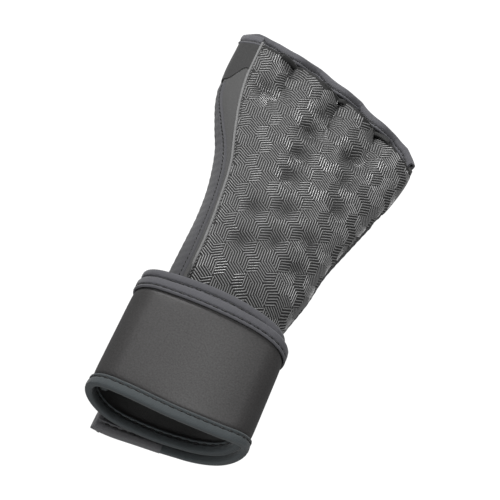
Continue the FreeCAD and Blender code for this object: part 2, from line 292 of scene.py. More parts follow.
def corners(rows, columns, close_columns):
    """Quads of a lattice, as four index arrays, and their (row, column) corners for UVs."""
    i, j = np.meshgrid(
        np.arange(rows - 1), np.arange(columns if close_columns else columns - 1), indexing="ij"
    )
    i, j = i.ravel(), j.ravel()
    around = [(i, j), (i + 1, j), (i + 1, j + 1), (i, j + 1)]
    quads = np.stack([a * columns + b % columns for a, b in around], -1)
    return quads, around


SHARP = math.radians(48.0)  # edges sharper than this aren't shaded smooth


def placed(name, data):
    """A new object in the scene."""
    made = bpy.data.objects.new(name, data)
    bpy.context.scene.collection.objects.link(made)
    return made


def finish_piece(
    name, vertices, faces, uvs, backs, material, slot, body="grip", replaced=(), inside=None
):
    """A piece from its corners in millimetres. uvs has one pair for every face corner.
    The faces from backs[0] to backs[1] take the material given as inside."""
    mesh = bpy.data.meshes.new(name)
    mesh.from_pydata((np.asarray(vertices) * MM + CUFF).tolist(), [], [list(f) for f in faces])
    layer = mesh.uv_layers.new(name="UVMap")
    layer.data.foreach_set("uv", np.asarray(uvs, np.float32).ravel())
    work = bmesh.new()
    work.from_mesh(mesh)
    bmesh.ops.recalc_face_normals(work, faces=work.faces)
    work.to_mesh(mesh)
    work.free()
    mesh.shade_smooth()
    mesh.set_sharp_from_angle(angle=SHARP)
    mesh.materials.append(material)
    if inside:
        mesh.materials.append(inside)
        index = np.zeros(len(faces), np.int32)
        index[backs[0] : backs[1]] = 1
        mesh.polygons.foreach_set("material_index", index)
    piece = placed(name, mesh)
    if replaced:
        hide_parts(*replaced)
    if body:
        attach(piece, body)
    return piece


class Build:
    """Collects lattices into one mesh."""

    def __init__(self):
        self.vertices, self.faces, self.uvs, self.count = [], [], [], 0
        self.backs = (0, 0)  # the faces of the last slab's inner side

    def lattice(self, p, u, v, close_columns=False):
        """p has rows and columns of points; u and v have one more column if it closes."""
        rows, columns = p.shape[:2]
        quads, around = corners(rows, columns, close_columns)
        self.faces.extend((quads + self.count).tolist())
        uv = np.stack([np.stack([u[a, b], v[a, b]], -1) for a, b in around], 1)
        self.uvs.append(uv.reshape(-1, 2) / UV_UNIT)
        self.vertices.append(p.reshape(-1, 3))
        first = self.count
        self.count += rows * columns
        return first

    def face(self, indices):
        self.faces.append(list(indices))
        self.uvs.append(np.zeros((len(indices), 2)))

    def slab(self, outer, inner):
        """A closed sheet between two lattices of the same size."""
        rows, columns = outer.shape[:2]
        u, v = lengths(outer, 0), lengths(outer, 1)
        a = self.lattice(outer, u, v)
        start = len(self.faces)
        b = self.lattice(inner, u, v)
        self.backs = (start, len(self.faces))
        rim = (
            [(i, 0) for i in range(rows)]
            + [(rows - 1, j) for j in range(1, columns)]
            + [(i, columns - 1) for i in range(rows - 2, -1, -1)]
            + [(0, j) for j in range(columns - 2, 0, -1)]
        )
        for here, there in zip(rim, rim[1:] + rim[:1]):
            i, j = here[0] * columns + here[1], there[0] * columns + there[1]
            self.faces.append([a + i, a + j, b + j, b + i])
            s, e = (np.array((u[at], v[at])) / UV_UNIT for at in (here, there))
            self.uvs.append(np.array([s, e, e, s]))
        return self

    def tube(self, rings):
        """A closed solid through rings of points, capped at both ends."""
        rows, columns = rings.shape[:2]
        u = np.repeat(lengths(rings.mean(1))[:, None], columns + 1, 1)
        closed = np.concatenate([rings, rings[:, :1]], 1)
        v = lengths(closed, 1)
        first = self.lattice(rings, u, v, close_columns=True)
        self.face(range(first, first + columns))
        last = first + (rows - 1) * columns
        self.face(range(last, last + columns))
        return self

    def piece(self, name, *rest, **more):
        uvs = np.concatenate([np.asarray(x).reshape(-1, 2) for x in self.uvs])
        vertices = np.concatenate(self.vertices)
        return finish_piece(name, vertices, self.faces, uvs, self.backs, *rest, **more)


def swept(line, inward, normal, profile):
    """Rings of a profile of (inward, outward) distances along a line of points."""
    profile = np.asarray(profile, float)
    if profile.ndim == 2:
        profile = np.broadcast_to(profile, (len(line),) + profile.shape)
    return (
        line[:, None]
        + profile[..., :1] * inward[:, None]
        + profile[..., 1:] * normal[:, None]
    )


FOLD = 0.42  # how far a tape's folded edge stands beyond the sheet
# One side of a binding tape: the body from its folded edge, then the sewn groove and the
# rolled inner edge, as distances from the fold or back from the tape's width, and heights.
TAPE_BODY = ((-FOLD, 0.0), (-0.22, 0.44), (0.3, 0.7), (1.1, 0.8))
TAPE_SEAM = (
    (-2.6, 0.78), (-2.05, 0.62), (-1.74, 0.2), (-1.5, 0.0), (-1.28, 0.16),
    (-1.08, 0.62), (-0.72, 0.84), (-0.34, 0.74), (-0.06, 0.36), (0.0, -0.06),
)
TAPE_W = 4.5  # width of the hand's tapes
STITCH_PITCH = 3.9  # of the wrist strap's seams
FINE_PITCH = 2.1  # of the hand's seams
GROOVE = 1.5  # from the tape's inner edge to its stitches
THREAD_UP = 0.24  # of the hand's stitches over the cloth
# A stitch from end to end: the place, the thickness and the height, as shares.
STITCH_FORM = np.array(
    [(-0.5, 0.35, -0.25), (-0.3, 0.9, 0.02), (0.0, 1.0, 0.1), (0.3, 0.9, 0.02), (0.5, 0.35, -0.25)]
)


def tape_profile(distance, width, thick, outer=1.0, inner=1.0):
    """A tape folded over the edge of a sheet whose outer face is at height 0: its profile
    at each distance along the edge, where its width and its heights may differ."""
    width, outer, inner = (
        np.broadcast_to(np.asarray(v, float), distance.shape)[:, None] for v in (width, outer, inner)
    )
    body, seam = np.array(TAPE_BODY), np.array(TAPE_SEAM)
    d = np.concatenate([body[:, 0] + 0 * width, seam[:, 0] + width], 1)
    h = np.concatenate([body[:, 1], seam[:, 1]]) + 0 * width
    wave = np.cos(2 * np.pi * (distance / STITCH_PITCH))[:, None]
    h[:, 2:6] += 0.06 * wave  # the tape is pulled in at each stitch
    zero = 0 * width
    inside_d, inside_h = zero + 0.2, zero - 0.12
    d = np.concatenate([zero - 0.45, d, inside_d, inside_d, d[:, ::-1]], 1)
    under = -thick - h[:, ::-1] * inner
    h = np.concatenate([zero - thick / 2, h * outer, inside_h, -thick - inside_h, under], 1)
    return np.stack([d, h], -1)


def dashes(build, line, normal, pitch, length, radius, start, tilt=0.0):
    """Stitches lying along a line, each a rounded thread that dips at its ends."""
    distance = lengths(line)
    side = unit(np.cross(along(line), normal))
    count = int((distance[-1] - start - length) / pitch) + 1
    ring = np.linspace(0, 2 * np.pi, 6, endpoint=False)[None, :, None]
    place, thickness, height = STITCH_FORM.T[..., None]

    def read(values, at):
        return np.stack([np.interp(at, distance, values[:, c]) for c in range(3)], -1)

    for k in range(max(count, 0)):
        at = start + k * pitch + length / 2 + STITCH_FORM[:, 0] * length
        up, across = unit(read(normal, at)), unit(read(side, at))
        centre = read(line, at) + up * height * radius * 2 + across * (place * tilt)
        thick = (thickness * radius)[:, None]
        rings = centre[:, None] + np.cos(ring) * across[:, None] * thick
        build.tube(rings + np.sin(ring) * up[:, None] * thick)


# ---- materials


class Material:
    """A node material around one Principled shader."""

    def __init__(self, name):
        self.material = bpy.data.materials.new(name)
        self.material.use_nodes = True
        self.tree = self.material.node_tree
        self.shader = self.tree.nodes["Principled BSDF"]
        self.uv = self.node("ShaderNodeTexCoord").outputs["UV"]
        self.heights = []

    def node(self, kind, **settings):
        """A node with those properties and input values, by name."""
        n = self.tree.nodes.new(kind)
        for key, value in settings.items():
            if hasattr(n, key):
                setattr(n, key, value)
            else:
                n.inputs[key].default_value = value
        return n

    def link(self, source, socket):
        self.tree.links.new(source, socket)

    def math(self, operation, a, b):
        n = self.node("ShaderNodeMath", operation=operation)
        for socket, value in zip(n.inputs, (a, b)):
            if isinstance(value, (int, float)):
                socket.default_value = value
            else:
                self.link(value, socket)
        return n.outputs[0]

    def turned(self, degrees):
        n = self.node("ShaderNodeMapping")
        n.inputs["Rotation"].default_value[2] = math.radians(degrees)
        self.link(self.uv, n.inputs["Vector"])
        return n.outputs[0]

    def noise(self, size, detail=2.0, rough=0.5):
        """Noise with lumps of about that many millimetres."""
        n = self.node("ShaderNodeTexNoise", Scale=UV_UNIT / size, Detail=detail, Roughness=rough)
        self.link(self.uv, n.inputs["Vector"])
        return n.outputs["Fac"]

    def mix(self, first, second, share):
        """Two factors added, the first weighing share and the second the rest."""
        return self.math(
            "ADD", self.math("MULTIPLY", first, share), self.math("MULTIPLY", second, 1 - share)
        )

    def ribs(self, pitch, degrees, wobble):
        """Ribs that repeat every pitch millimetres across the UV's u axis, turned."""
        scale = 2 * math.pi / 20 / (pitch / UV_UNIT)  # Blender's bands repeat every pi / 10
        n = self.node("ShaderNodeTexWave", Scale=scale, Distortion=wobble, Detail=1.0)
        n.inputs["Detail Scale"].default_value = 2.0
        self.link(self.turned(degrees), n.inputs["Vector"])
        return n.outputs["Fac"]

    def colour(self, fac, dark, light):
        n = self.node("ShaderNodeMix", data_type="RGBA", A=(*dark, 1), B=(*light, 1))
        self.link(fac, n.inputs["Factor"])
        self.link(n.outputs["Result"], self.shader.inputs["Base Color"])

    def rough(self, fac, low, high):
        n = self.node("ShaderNodeMapRange")
        n.inputs["To Min"].default_value = low
        n.inputs["To Max"].default_value = high
        self.link(fac, n.inputs["Value"])
        self.link(n.outputs["Result"], self.shader.inputs["Roughness"])

    def bump(self, height, depth):
        """Bump of that many millimetres."""
        self.heights.append(self.math("MULTIPLY", height, depth * MM))

    def done(self, sheen, specular):
        total = self.heights[0]
        for height in self.heights[1:]:
            total = self.math("ADD", total, height)
        n = self.node("ShaderNodeBump", Distance=1.0)
        self.link(total, n.inputs["Height"])
        self.link(n.outputs["Normal"], self.shader.inputs["Normal"])
        self.shader.inputs["Sheen Weight"].default_value = sheen
        self.shader.inputs["Specular IOR Level"].default_value = specular
        return self.material


def grey(level, blue=0.0, red=0.0):
    """A linear colour from an sRGB level of 0 to 255."""

    def linear(x):
        x = min(max(x / 255, 0), 1)
        return x / 12.92 if x <= 0.04045 else ((x + 0.055) / 1.055) ** 2.4

    return (linear(level + red), linear(level), linear(level + blue))


def scuffed(m, size, share):
    """Soft uneven wear: a factor around 0.5, from lumps of that size and small ones."""
    return m.mix(m.noise(size, 3.0), m.noise(size / 14, 2.0), share)


def knit_material(
    name, dark, light, pitch, depth, sheen, rough=(0.72, 0.9), red=0.0, specular=0.3, mottle=0.0
):
    """Fine jersey over foam: columns of small loops."""
    m = Material(name)
    wales = m.ribs(pitch, 0.0, 0.6)
    courses = m.ribs(pitch * 0.72, 90.0, 0.5)
    loops = m.math("MULTIPLY", wales, courses)
    fuzz = m.noise(pitch * 0.8, 3.0, 0.6)
    wear = scuffed(m, 22.0, 0.6)
    fac = m.mix(loops, wear, 0.35)
    if mottle:
        speck = m.math("SUBTRACT", m.noise(0.8, 2.0, 0.6), 0.5)
        fac = m.math("ADD", fac, m.math("MULTIPLY", speck, mottle))
    m.colour(fac, grey(dark, red=red), grey(light, red=red))
    m.rough(wear, *rough)
    m.bump(loops, depth)
    m.bump(fuzz, depth * 0.6)
    m.bump(m.noise(9.0, 2.0), 0.10)
    return m.done(sheen, specular)


def twill_material(name, dark, light, pitch, angle, depth, sheen, blue=0.0, red=0.0):
    """Woven cloth: ribs at an angle, crossed by fine threads."""
    m = Material(name)
    ribs = m.ribs(pitch, angle, 0.4)
    threads = m.ribs(pitch * 0.55, angle + 90, 0.3)
    weave = m.mix(ribs, threads, 0.7)
    wear = scuffed(m, 16.0, 0.5)
    m.colour(m.mix(weave, wear, 0.45), grey(dark, blue, red), grey(light, blue, red))
    m.rough(wear, 0.7, 0.9)
    m.bump(weave, depth)
    m.bump(m.noise(pitch * 0.9, 2.0), depth * 0.5)
    return m.done(sheen, specular=0.3)


BAND = knit_material(
    "band_jersey", 40, 58, 0.55, 0.03, 0.03, (0.47, 0.54), red=1.0, specular=0.34, mottle=2.2
)
TAPE = twill_material("binding_tape", 60, 86, 0.6, 90.0, 0.05, 0.2, blue=4.0)
# the thumb side's tape: the binding tape made darker, as painted shade
SIDE_TAPE_PAINTED_SHADE = twill_material("side_binding_tape_painted_shade", 50, 74, 0.6, 90.0, 0.05, 0.16, blue=3.0)
# the wrist's lower tape: a teal tint, and darker than the upper tape as painted shade on the rim that faces
# down
TEAL_RIM_TAPE_PAINTED_SHADE = twill_material("teal_rim_tape_painted_shade", 50, 74, 0.6, 90.0, 0.05, 0.16, blue=2.0, red=-5.0)
# the little finger side's tape: the binding tape made darker, as painted shade on the edge turned from the
# light
LITTLE_SIDE_TAPE_PAINTED_SHADE = twill_material("little_side_tape_painted_shade", 46, 68, 0.6, 90.0, 0.05, 0.12, blue=2.0)
GUSSET = knit_material("stretch_jersey", 56, 74, 0.45, 0.025, 0.15, mottle=0.8)
STRIP = knit_material("knuckle_jersey", 36, 50, 0.45, 0.025, 0.12, mottle=0.8)
PIPING = knit_material("seam_piping", 92, 126, 0.45, 0.04, 0.1, mottle=1.5)
LINING = knit_material("palm_lining", 42, 60, 0.8, 0.06, 0.15)
# the tail's twill and tapes are made light: painted light, in place of the light that the cuff's shade
# keeps off them
TAIL_TWILL_PAINTED_LIGHT = twill_material("tail_twill_painted_light", 84, 106, 0.7, 45.0, 0.06, 0.1)
TAIL_TAPE_PAINTED_LIGHT = twill_material("tail_binding_tape_painted_light", 76, 100, 0.6, 90.0, 0.05, 0.12, blue=2.0)
LOOP = knit_material("loop_pile", 24, 44, 0.9, 0.25, 0.35)
HOOK = twill_material("hook_tape", 20, 36, 0.9, 0.0, 0.1, 0.05)
GROUND = knit_material("palm_ground", 26, 40, 0.5, 0.05, 0.06, rough=(0.6, 0.85))


def thread_material(name, dark, light):
    """Twisted sewing thread."""
    m = Material(name)
    twist = m.ribs(0.35, 35.0, 0.2)
    m.colour(m.mix(twist, m.noise(3.0), 0.6), grey(dark), grey(light))
    m.rough(twist, 0.45, 0.7)
    m.bump(twist, 0.04)
    return m.done(sheen=0.1, specular=0.4)


THREAD = thread_material("black_thread", 10, 26)
PALE_THREAD = thread_material("grey_thread", 96, 140)


def rubber_material():
    """The raised print: soft rubber, glossier where it is worn smooth."""
    m = Material("print_rubber")
    wear = scuffed(m, 14.0, 0.55)
    m.colour(wear, grey(98), grey(134))
    m.rough(wear, 0.33, 0.48)
    m.bump(m.noise(0.5, 2.0), 0.03)
    return m.done(sheen=0.0, specular=0.85)


RUBBER = rubber_material()


# ---- the wrist strap

STRAP = 2.2  # thickness of the cloth
PITCH = 3.2  # from one turn to the next
SHOULDER_X, SHOULDER = 22.0, 9.0  # middle and radius of the corners beside the crown
WAIST = 26.6  # height of the cuff's widest place
CROWN = 80.0  # radius of its upper side
CROWN_Z = WAIST - math.sqrt((CROWN - SHOULDER) ** 2 - SHOULDER_X**2)
MEET = math.degrees(math.atan2(WAIST - CROWN_Z, SHOULDER_X))
SIDE_X, SIDE = 11.5, 19.5  # middle and radius of its lower corners
OUTER_X = SHOULDER_X + SHOULDER + PITCH
HINGE_X = 3.0
FLOOR_Z, TAIL_Z, LEFT_X = 7.1, 2.9, -14.7
STEP = 0.9  # from point to point along the strap


def arc(cx, cz, radius, start, end):
    """Points of an arc in x and z, with their outward directions."""
    count = max(int(radius * abs(math.radians(end - start)) / STEP), 4)
    a = np.radians(np.linspace(start, end, count + 1))
    out = np.stack([np.cos(a), np.sin(a)], -1)
    return np.array([cx, cz]) + radius * out, out


def run(x1, z1, x2, z2, out):
    """Points of a straight stretch, with their outward direction."""
    count = max(int(math.hypot(x2 - x1, z2 - z1) / STEP), 2)
    t = np.linspace(0, 1, count + 1)[:, None]
    return np.array([x1, z1]) * (1 - t) + np.array([x2, z2]) * t, np.repeat([out], count + 1, 0)


# Each stretch of the strap, as in part.py, with the turn angle that it ends at.
STRETCHES = (
    (arc(-SIDE_X, WAIST, SIDE, 208, 180), 0.0),
    (arc(-SHOULDER_X, WAIST, SHOULDER, 180, 180 - MEET), 32.0),
    (arc(0, CROWN_Z, CROWN, 180 - MEET, MEET), 148.0),
    (arc(SHOULDER_X, WAIST, SHOULDER, MEET, 0), 180.0),
    (arc(SIDE_X, WAIST, SIDE, 0, -90), 245.0),
    (run(SIDE_X, FLOOR_Z, LEFT_X, FLOOR_Z, (0, -1)), 300.0),
    (arc(LEFT_X, WAIST, SIDE, -90, -180), 360.0),
    (arc(-SHOULDER_X, WAIST, SHOULDER + PITCH, 180, 180 - MEET), 392.0),
    (arc(0, CROWN_Z, CROWN + PITCH, 180 - MEET, MEET), 508.0),
    (arc(SHOULDER_X, WAIST, SHOULDER + PITCH, MEET, 0), 538.0),
    (run(OUTER_X, WAIST, OUTER_X, WAIST - 1, (1, 0)), 542.0),
    (arc(SIDE_X, WAIST - 1, SIDE + PITCH, 0, -90), 607.0),
    (run(SIDE_X, TAIL_Z, HINGE_X, TAIL_Z, (0, -1)), 625.0),
    (run(HINGE_X, TAIL_Z, LEFT_X, TAIL_Z, (0, -1)), 650.0),
    (arc(LEFT_X, WAIST, 23.7, -90, -120), 668.0),
)
TAIL_FROM = 13  # the first stretch of the tail
# Turn angle: the strap's edge towards the fingers, and its edge towards the wrist.
EDGES = np.array([
    (-30.0, 32.0, -20.0), (0.0, 33.0, -20.0), (45.0, 33.7, -21.5), (90.0, 34.0, -22.0),
    (135.0, 33.4, -21.6), (180.0, 30.6, -21.5), (225.0, 30.8, -24.0), (270.0, 30.5, -27.0),
    (315.0, 30.0, -27.2), (360.0, 29.0, -26.0), (400.0, 28.4, -27.8), (450.0, 28.4, -29.3),
    (500.0, 28.0, -27.0), (540.0, 26.0, -23.0), (580.0, 25.8, -26.0), (610.0, 25.6, -28.4),
    (640.0, 25.4, -30.6), (668.0, 25.0, -33.2),
])


def joined(stretches, first_turn):
    """The stretches' points, outward directions and turn angles, as one line."""
    points, outs, turns, turn = [], [], [], first_turn
    for k, ((p, out), end) in enumerate(stretches):
        skip = 1 if k else 0
        points.append(p[skip:])
        outs.append(out[skip:])
        turns.append(np.linspace(turn, end, len(p))[skip:])
        turn = end
    return np.concatenate(points), np.concatenate(outs), np.concatenate(turns)


STRAP_TAPE = 4.9  # width of its binding tape
SEAM_IN = 3.82  # from its edge to its stitches
# Where points lie across the cloth beside an edge, close together at the sewn dip.
ACROSS = np.array([0, 1.5, 3, 4.2, 4.8, 5.1, 5.4, 5.8, 6.4, 7.4, 9, 11.5, 15])


class Strap:
    """A length of the strap, with points anywhere on it."""

    def __init__(self, stretches, first_turn):
        self.path, self.out, self.turn = joined(stretches, first_turn)
        edges = smooth(EDGES, self.turn)
        self.normal = np.stack([self.out[:, 0], 0 * self.turn, self.out[:, 1]], -1)
        self.distance = s = lengths(self.path)
        ripple = 0.18 * np.sin(s / 17.0) + 0.12 * np.sin(s / 7.3 + 1.0)
        self.top, self.low = edges[:, 0] + ripple, edges[:, 1] - 0.6 * ripple

    def point(self, y, height):
        """Points at y (one row for each point of the path) and height over the inner face."""
        height = np.broadcast_to(height, y.shape)
        xz = self.path[:, None] + self.out[:, None] * height[..., None]
        narrow = 1 - 0.0006 * (y + 28.0) + 0.012 * step_up((-19.0 - y) / 9)
        start = 1 - step_up((self.turn[:, None] - 10) / 70)
        flare = 2.6 * start * step_up((y - 26.0) / 6)
        x = xz[..., 0] * narrow + self.out[:, :1] * flare
        return np.stack([x, y, xz[..., 1]], -1)

    def cloth(self):
        """The cloth between the tapes, pulled in beside them."""
        near = 0.45
        low = (self.low + near)[:, None] + ACROSS
        high = (self.top - near)[:, None] - ACROSS[::-1]
        middle = low[:, -1:] + (high[:, :1] - low[:, -1:]) * np.linspace(0, 1, 9)[1:-1]
        y = np.concatenate([low, middle, high], 1)
        inside = np.minimum(y - self.low[:, None], self.top[:, None] - y)
        dip = 0.55 * np.exp(-(((inside - 5.3) / 0.75) ** 2))
        dip = dip + 0.25 * np.exp(-(((inside - 5.0) / 3.2) ** 2))
        return Build().slab(self.point(y, STRAP - dip), self.point(y, 0.3 * dip))

    def from_edge(self, edge, distance):
        """The y that lies a distance from the edge: 'top' or 'low'."""
        return self.top[:, None] - distance if edge == "top" else self.low[:, None] + distance

    def tape(self, edge, outer=1.0, inner=1.0):
        p = tape_profile(self.distance, STRAP_TAPE, STRAP, outer, inner)
        y = self.from_edge(edge, p[..., 0] + FOLD)
        return Build().tube(self.point(y, STRAP + p[..., 1]))

    def stitches(self):
        """A mesh of the stitches of both tapes, on both faces."""
        build = Build()
        for edge in ("top", "low"):
            for height, outward in ((STRAP + 0.3, 1.0), (-0.3, -1.0)):
                line = self.point(self.from_edge(edge, SEAM_IN), height)[:, 0]
                dashes(build, line, self.normal * outward, STITCH_PITCH, 2.6, 0.42, 0.8)
        return build


wrap = Strap(STRETCHES[:TAIL_FROM], -28.0)
tail = Strap(STRETCHES[TAIL_FROM:], STRETCHES[TAIL_FROM - 1][1])


def on_tail(piece):
    """Bakes a piece's placement into its mesh."""
    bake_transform(piece)


wrap.cloth().piece(
    "wrist_wrap", BAND, "wrist_strap", inside=LINING,
    replaced=("strap_inner_turn", "strap_outer_turn"),
)

# the tapes lie flatter where two turns lie on each other
thin_inner = np.interp(wrap.turn, [330, 400], [1.0, 0.6])
thin_outer = np.interp(wrap.turn, [300, 380], [0.6, 1.0])
wrap.tape("top", inner=thin_inner).piece(
    "wrap_upper_tape", TAPE, "binding_tape",
    replaced=("strap_inner_turn_upper_binding", "strap_outer_turn_upper_binding"),
)
# the lower tape is teal, and darker as painted shade
wrap.tape("low", outer=thin_outer, inner=thin_inner).piece(
    "wrap_lower_tape", TEAL_RIM_TAPE_PAINTED_SHADE, "binding_tape",
    replaced=("strap_inner_turn_lower_binding", "strap_outer_turn_lower_binding"),
)
wrap.stitches().piece("wrap_stitches", THREAD, "binding_tape")

# the tail's cloth and tapes take the lightened materials: painted light
on_tail(tail.cloth().piece("tail_cloth", TAIL_TWILL_PAINTED_LIGHT, "wrist_strap", None, replaced=("strap_tail",)))
for edge, name, node in (
    ("top", "tail_upper_tape", "strap_tail_upper_binding"),
    ("low", "tail_lower_tape", "strap_tail_lower_binding"),
):
    on_tail(tail.tape(edge).piece(name, TAIL_TAPE_PAINTED_LIGHT, "binding_tape", None, replaced=(node,)))
on_tail(tail.stitches().piece("tail_stitches", THREAD, "binding_tape", None))

# the tape folded over the tail's end
end_y = np.linspace(tail.low[-1] + 0.5, tail.top[-1] - 0.5, 60)
end_line = tail.point(end_y[None].repeat(len(tail.turn), 0), STRAP)[-1]
step_x, step_z = tail.path[-2] - tail.path[-1]
end_in = unit(np.array([step_x, 0, step_z]))[None].repeat(len(end_y), 0)
end_out = tail.normal[-1:].repeat(len(end_y), 0)
end_profile = tape_profile(lengths(end_line), TAPE_W, STRAP, 0.7, 0.7)
build = Build()
build.tube(swept(end_line, end_in, end_out, end_profile))
on_tail(build.piece("tail_end_tape", TAIL_TAPE_PAINTED_LIGHT, "binding_tape", None))


# Each patch's first and last turn angle, and the y of its middle.
HOOK_PATCH = (628.0, 664.5, -1.5)
LOOP_PATCH = (276.0, 334.0, 2.5)
PATCH_HALF = 18.5
# A hook from its foot to its tip: height over the strap's inner face, radius, bend.
HOOK_FORM = ((-0.65, 0.22, 0.0), (-0.95, 0.17, 0.0), (-1.15, 0.14, 0.12), (-1.22, 0.06, 0.3))


def patch(strap, place, height, thick):
    """A patch on the strap."""
    first, last, centre = place
    keep = (strap.turn >= first) & (strap.turn <= last)
    y = centre + np.linspace(-PATCH_HALF, PATCH_HALF, 40)[None].repeat(len(keep), 0)
    return Build().slab(strap.point(y, height + thick)[keep], strap.point(y, height)[keep])


def patch_stitches(strap, place, height):
    """Stitches along a patch, a little inside its edges."""
    first, last, centre = place
    keep = (strap.turn >= first) & (strap.turn <= last)
    build = Build()
    for side in (-1, 1):
        y = np.full((len(keep), 1), centre + side * (PATCH_HALF - 1.4))
        dashes(build, strap.point(y, height)[keep, 0], strap.normal[keep], 2.6, 1.7, 0.22, 0.6)
    return build


def hook(k, y):
    """One hook, as rings of points, at the tail's point k."""
    rings = []
    side = np.array([-tail.out[k][1], tail.out[k][0]])
    for height, size, bend in HOOK_FORM:
        foot = tail.path[k] + tail.out[k] * height
        for quarter in range(4):
            turn = quarter * math.pi / 2
            x, z = foot + side * size * math.cos(turn)
            rings.append((x, y + size * math.sin(turn) + bend, z))
    return np.array(rings).reshape(len(HOOK_FORM), 4, 3)


build = patch(tail, HOOK_PATCH, -0.7, 0.75)
# small hooks stand on the patch in staggered rows
for k in range(2, len(tail.turn) - 3):
    if HOOK_PATCH[0] + 0.5 <= tail.turn[k] <= HOOK_PATCH[1] - 0.5:
        for y in np.arange(-17.4, 17.5, 1.25):
            build.tube(hook(k, y + HOOK_PATCH[2] + (0.6 if k % 2 else 0.0)))
on_tail(build.piece("hook_patch_cloth", HOOK, "hook_and_loop", None, replaced=("hook_patch",)))
patch(wrap, LOOP_PATCH, STRAP - 0.05, 0.62).piece(
    "loop_patch_cloth", LOOP, "hook_and_loop", replaced=("loop_patch",)
)
patch_stitches(wrap, LOOP_PATCH, STRAP + 0.6).piece(
    "loop_patch_stitches", THREAD, "hook_and_loop"
)


# ---- the palm

HEEL_Y = 20.0  # where the hand's cloth starts, inside the cuff


def palm_lattice(start_y, end_short, right, left_short, columns, rows):
    """Angles and lengths of a layer of the palm, from the little finger side."""
    s, f = grid(columns, rows)
    y = np.full(s.shape, start_y)
    for _ in range(14):
        angle = right + (print_edge_angle(y) - left_short - right) * s
        x = on_form(angle, y)[..., 0]
        y = start_y + (palm_top(x) - end_short - start_y) * f
    return angle, y


outer = palm_surface(*palm_lattice(HEEL_Y, 0.0, SIDE_SEAM, 0.0, 220, 180))
build = Build()
build.slab(outer, outer - palmward(grid_normals(outer)) * PANEL)
build.piece("palm_cloth", GROUND, "palm_print", replaced=("palm_panel",))

# the padding and its lining, with sewn channels across the palm
CHANNELS = 4
PAD_POINTS = 110  # each way
PAD_WIDE, PAD_LONG = 70, 110
face = palm_surface(*palm_lattice(24.0, 23.0, 6.0, 4.0, PAD_POINTS, PAD_POINTS))
outward = palmward(grid_normals(face))
s, f = grid(PAD_POINTS, PAD_POINTS)
rim = np.minimum(np.minimum(s, 1 - s) * PAD_WIDE, np.minimum(f, 1 - f) * PAD_LONG)
crown = np.sqrt(np.clip(rim / 5.0, 0, 1))
channel = np.exp(-(((f * CHANNELS) % 1 - 0.5) / 0.035) ** 2) * (rim > 3)
seam_dip = np.exp(-(((rim - 4.5) / 0.7) ** 2))
thick = 0.5 + 3.1 * crown - 1.3 * channel - 0.9 * seam_dip * (f < 0.97)
build = Build()
build.slab(face - outward * (PANEL + 0.05), face - outward * (PANEL + 0.15 + thick)[..., None])
padding = build.piece(
    "palm_padding", LINING, "lining", replaced=("palm_foam_pad", "palm_lining")
)
build = Build()
sewn = face - outward * (PANEL + 0.2 + thick)[..., None]
for k in range(CHANNELS):
    row = round((k + 0.5) / CHANNELS * (PAD_POINTS - 1))
    dashes(build, sewn[6:-6, row], -outward[6:-6, row], 3.2, 2.0, 0.24, 1.0)
build.piece("padding_stitches", THREAD, "lining")


# ---- the print on the palm

DIAMOND = 5.0  # the side of the print's diamonds
PRINT_TURN = 30.0
PRINT_ORIGIN = np.array([-4.3, 64.1])
# The print runs a little askew on the cloth: it is stretched along the hand.
PRINT_SKEW = np.array([[0.993, -0.067], [-0.108, 1.067]])
PRINT_REACH = 14  # cells each way, enough to cover the palm
STROKE_HALF, STROKE_HIGH = 0.25, 0.3
# A stroke's section: across it, and over the cloth.
STROKE_ACROSS = np.array([-1.0, -0.72, 0.0, 0.72, 1.0])
STROKE_RISE = np.array([-0.35, 0.72, 1.0, 0.72, -0.35])
PRESSED, PRESSED_WIDE = 0.72, 3.4  # how much thinner the strokes are in a pit
REFERENCE_X = 8.0

# How far round the form each angle lies from the reference line, at each y.
table_y = np.linspace(16.0, 172.0, 157)
table_angle = np.linspace(-12.0, 170.0, 365)
table = np.meshgrid(table_angle, table_y, indexing="ij")
table_x = palm_surface(*table)[..., 0]
table_run = lengths(on_form(*table), 0)
columns = range(len(table_y))
reference = np.array([np.interp(-REFERENCE_X, -table_x[:, k], table_run[:, k]) for k in columns])
table_run = reference[None] - table_run  # grows with x


def unrolled_angle(u, y):
    """The angle round the palm at a distance u across it from the reference line."""
    found = np.array([np.interp(-u, -table_run[:, k], table_angle) for k in columns])
    place = np.clip((y - table_y[0]) / (table_y[1] - table_y[0]), 0, len(table_y) - 1.001)
    k = place.astype(int)
    share = place - k
    index = np.arange(len(u))
    return found[k, index] * (1 - share) + found[k + 1, index] * share


def diamond_strokes():
    """The lines of a third of the print's cell, as starts and ends in diamond sides."""
    h = math.sqrt(3) / 2
    down = np.array([0.5, -h])
    cells = (
        (np.array([0.0, 0.0]), np.array([1.0, 0.0])),
        (np.array([1.0, 0.0]), np.array([0.5, h])),
        (np.array([1.5, h]), np.array([1.0, 0.0])),
    )
    found = []
    for corner, side in cells:
        for k in range(4):
            start = corner + side * (k + 0.5) / 4
            found.append((start, start + down))
    return found


def turned(p, degrees):
    """Points of a plane, turned about its origin."""
    c, s = math.cos(math.radians(degrees)), math.sin(math.radians(degrees))
    return np.stack([p[..., 0] * c - p[..., 1] * s, p[..., 0] * s + p[..., 1] * c], -1)


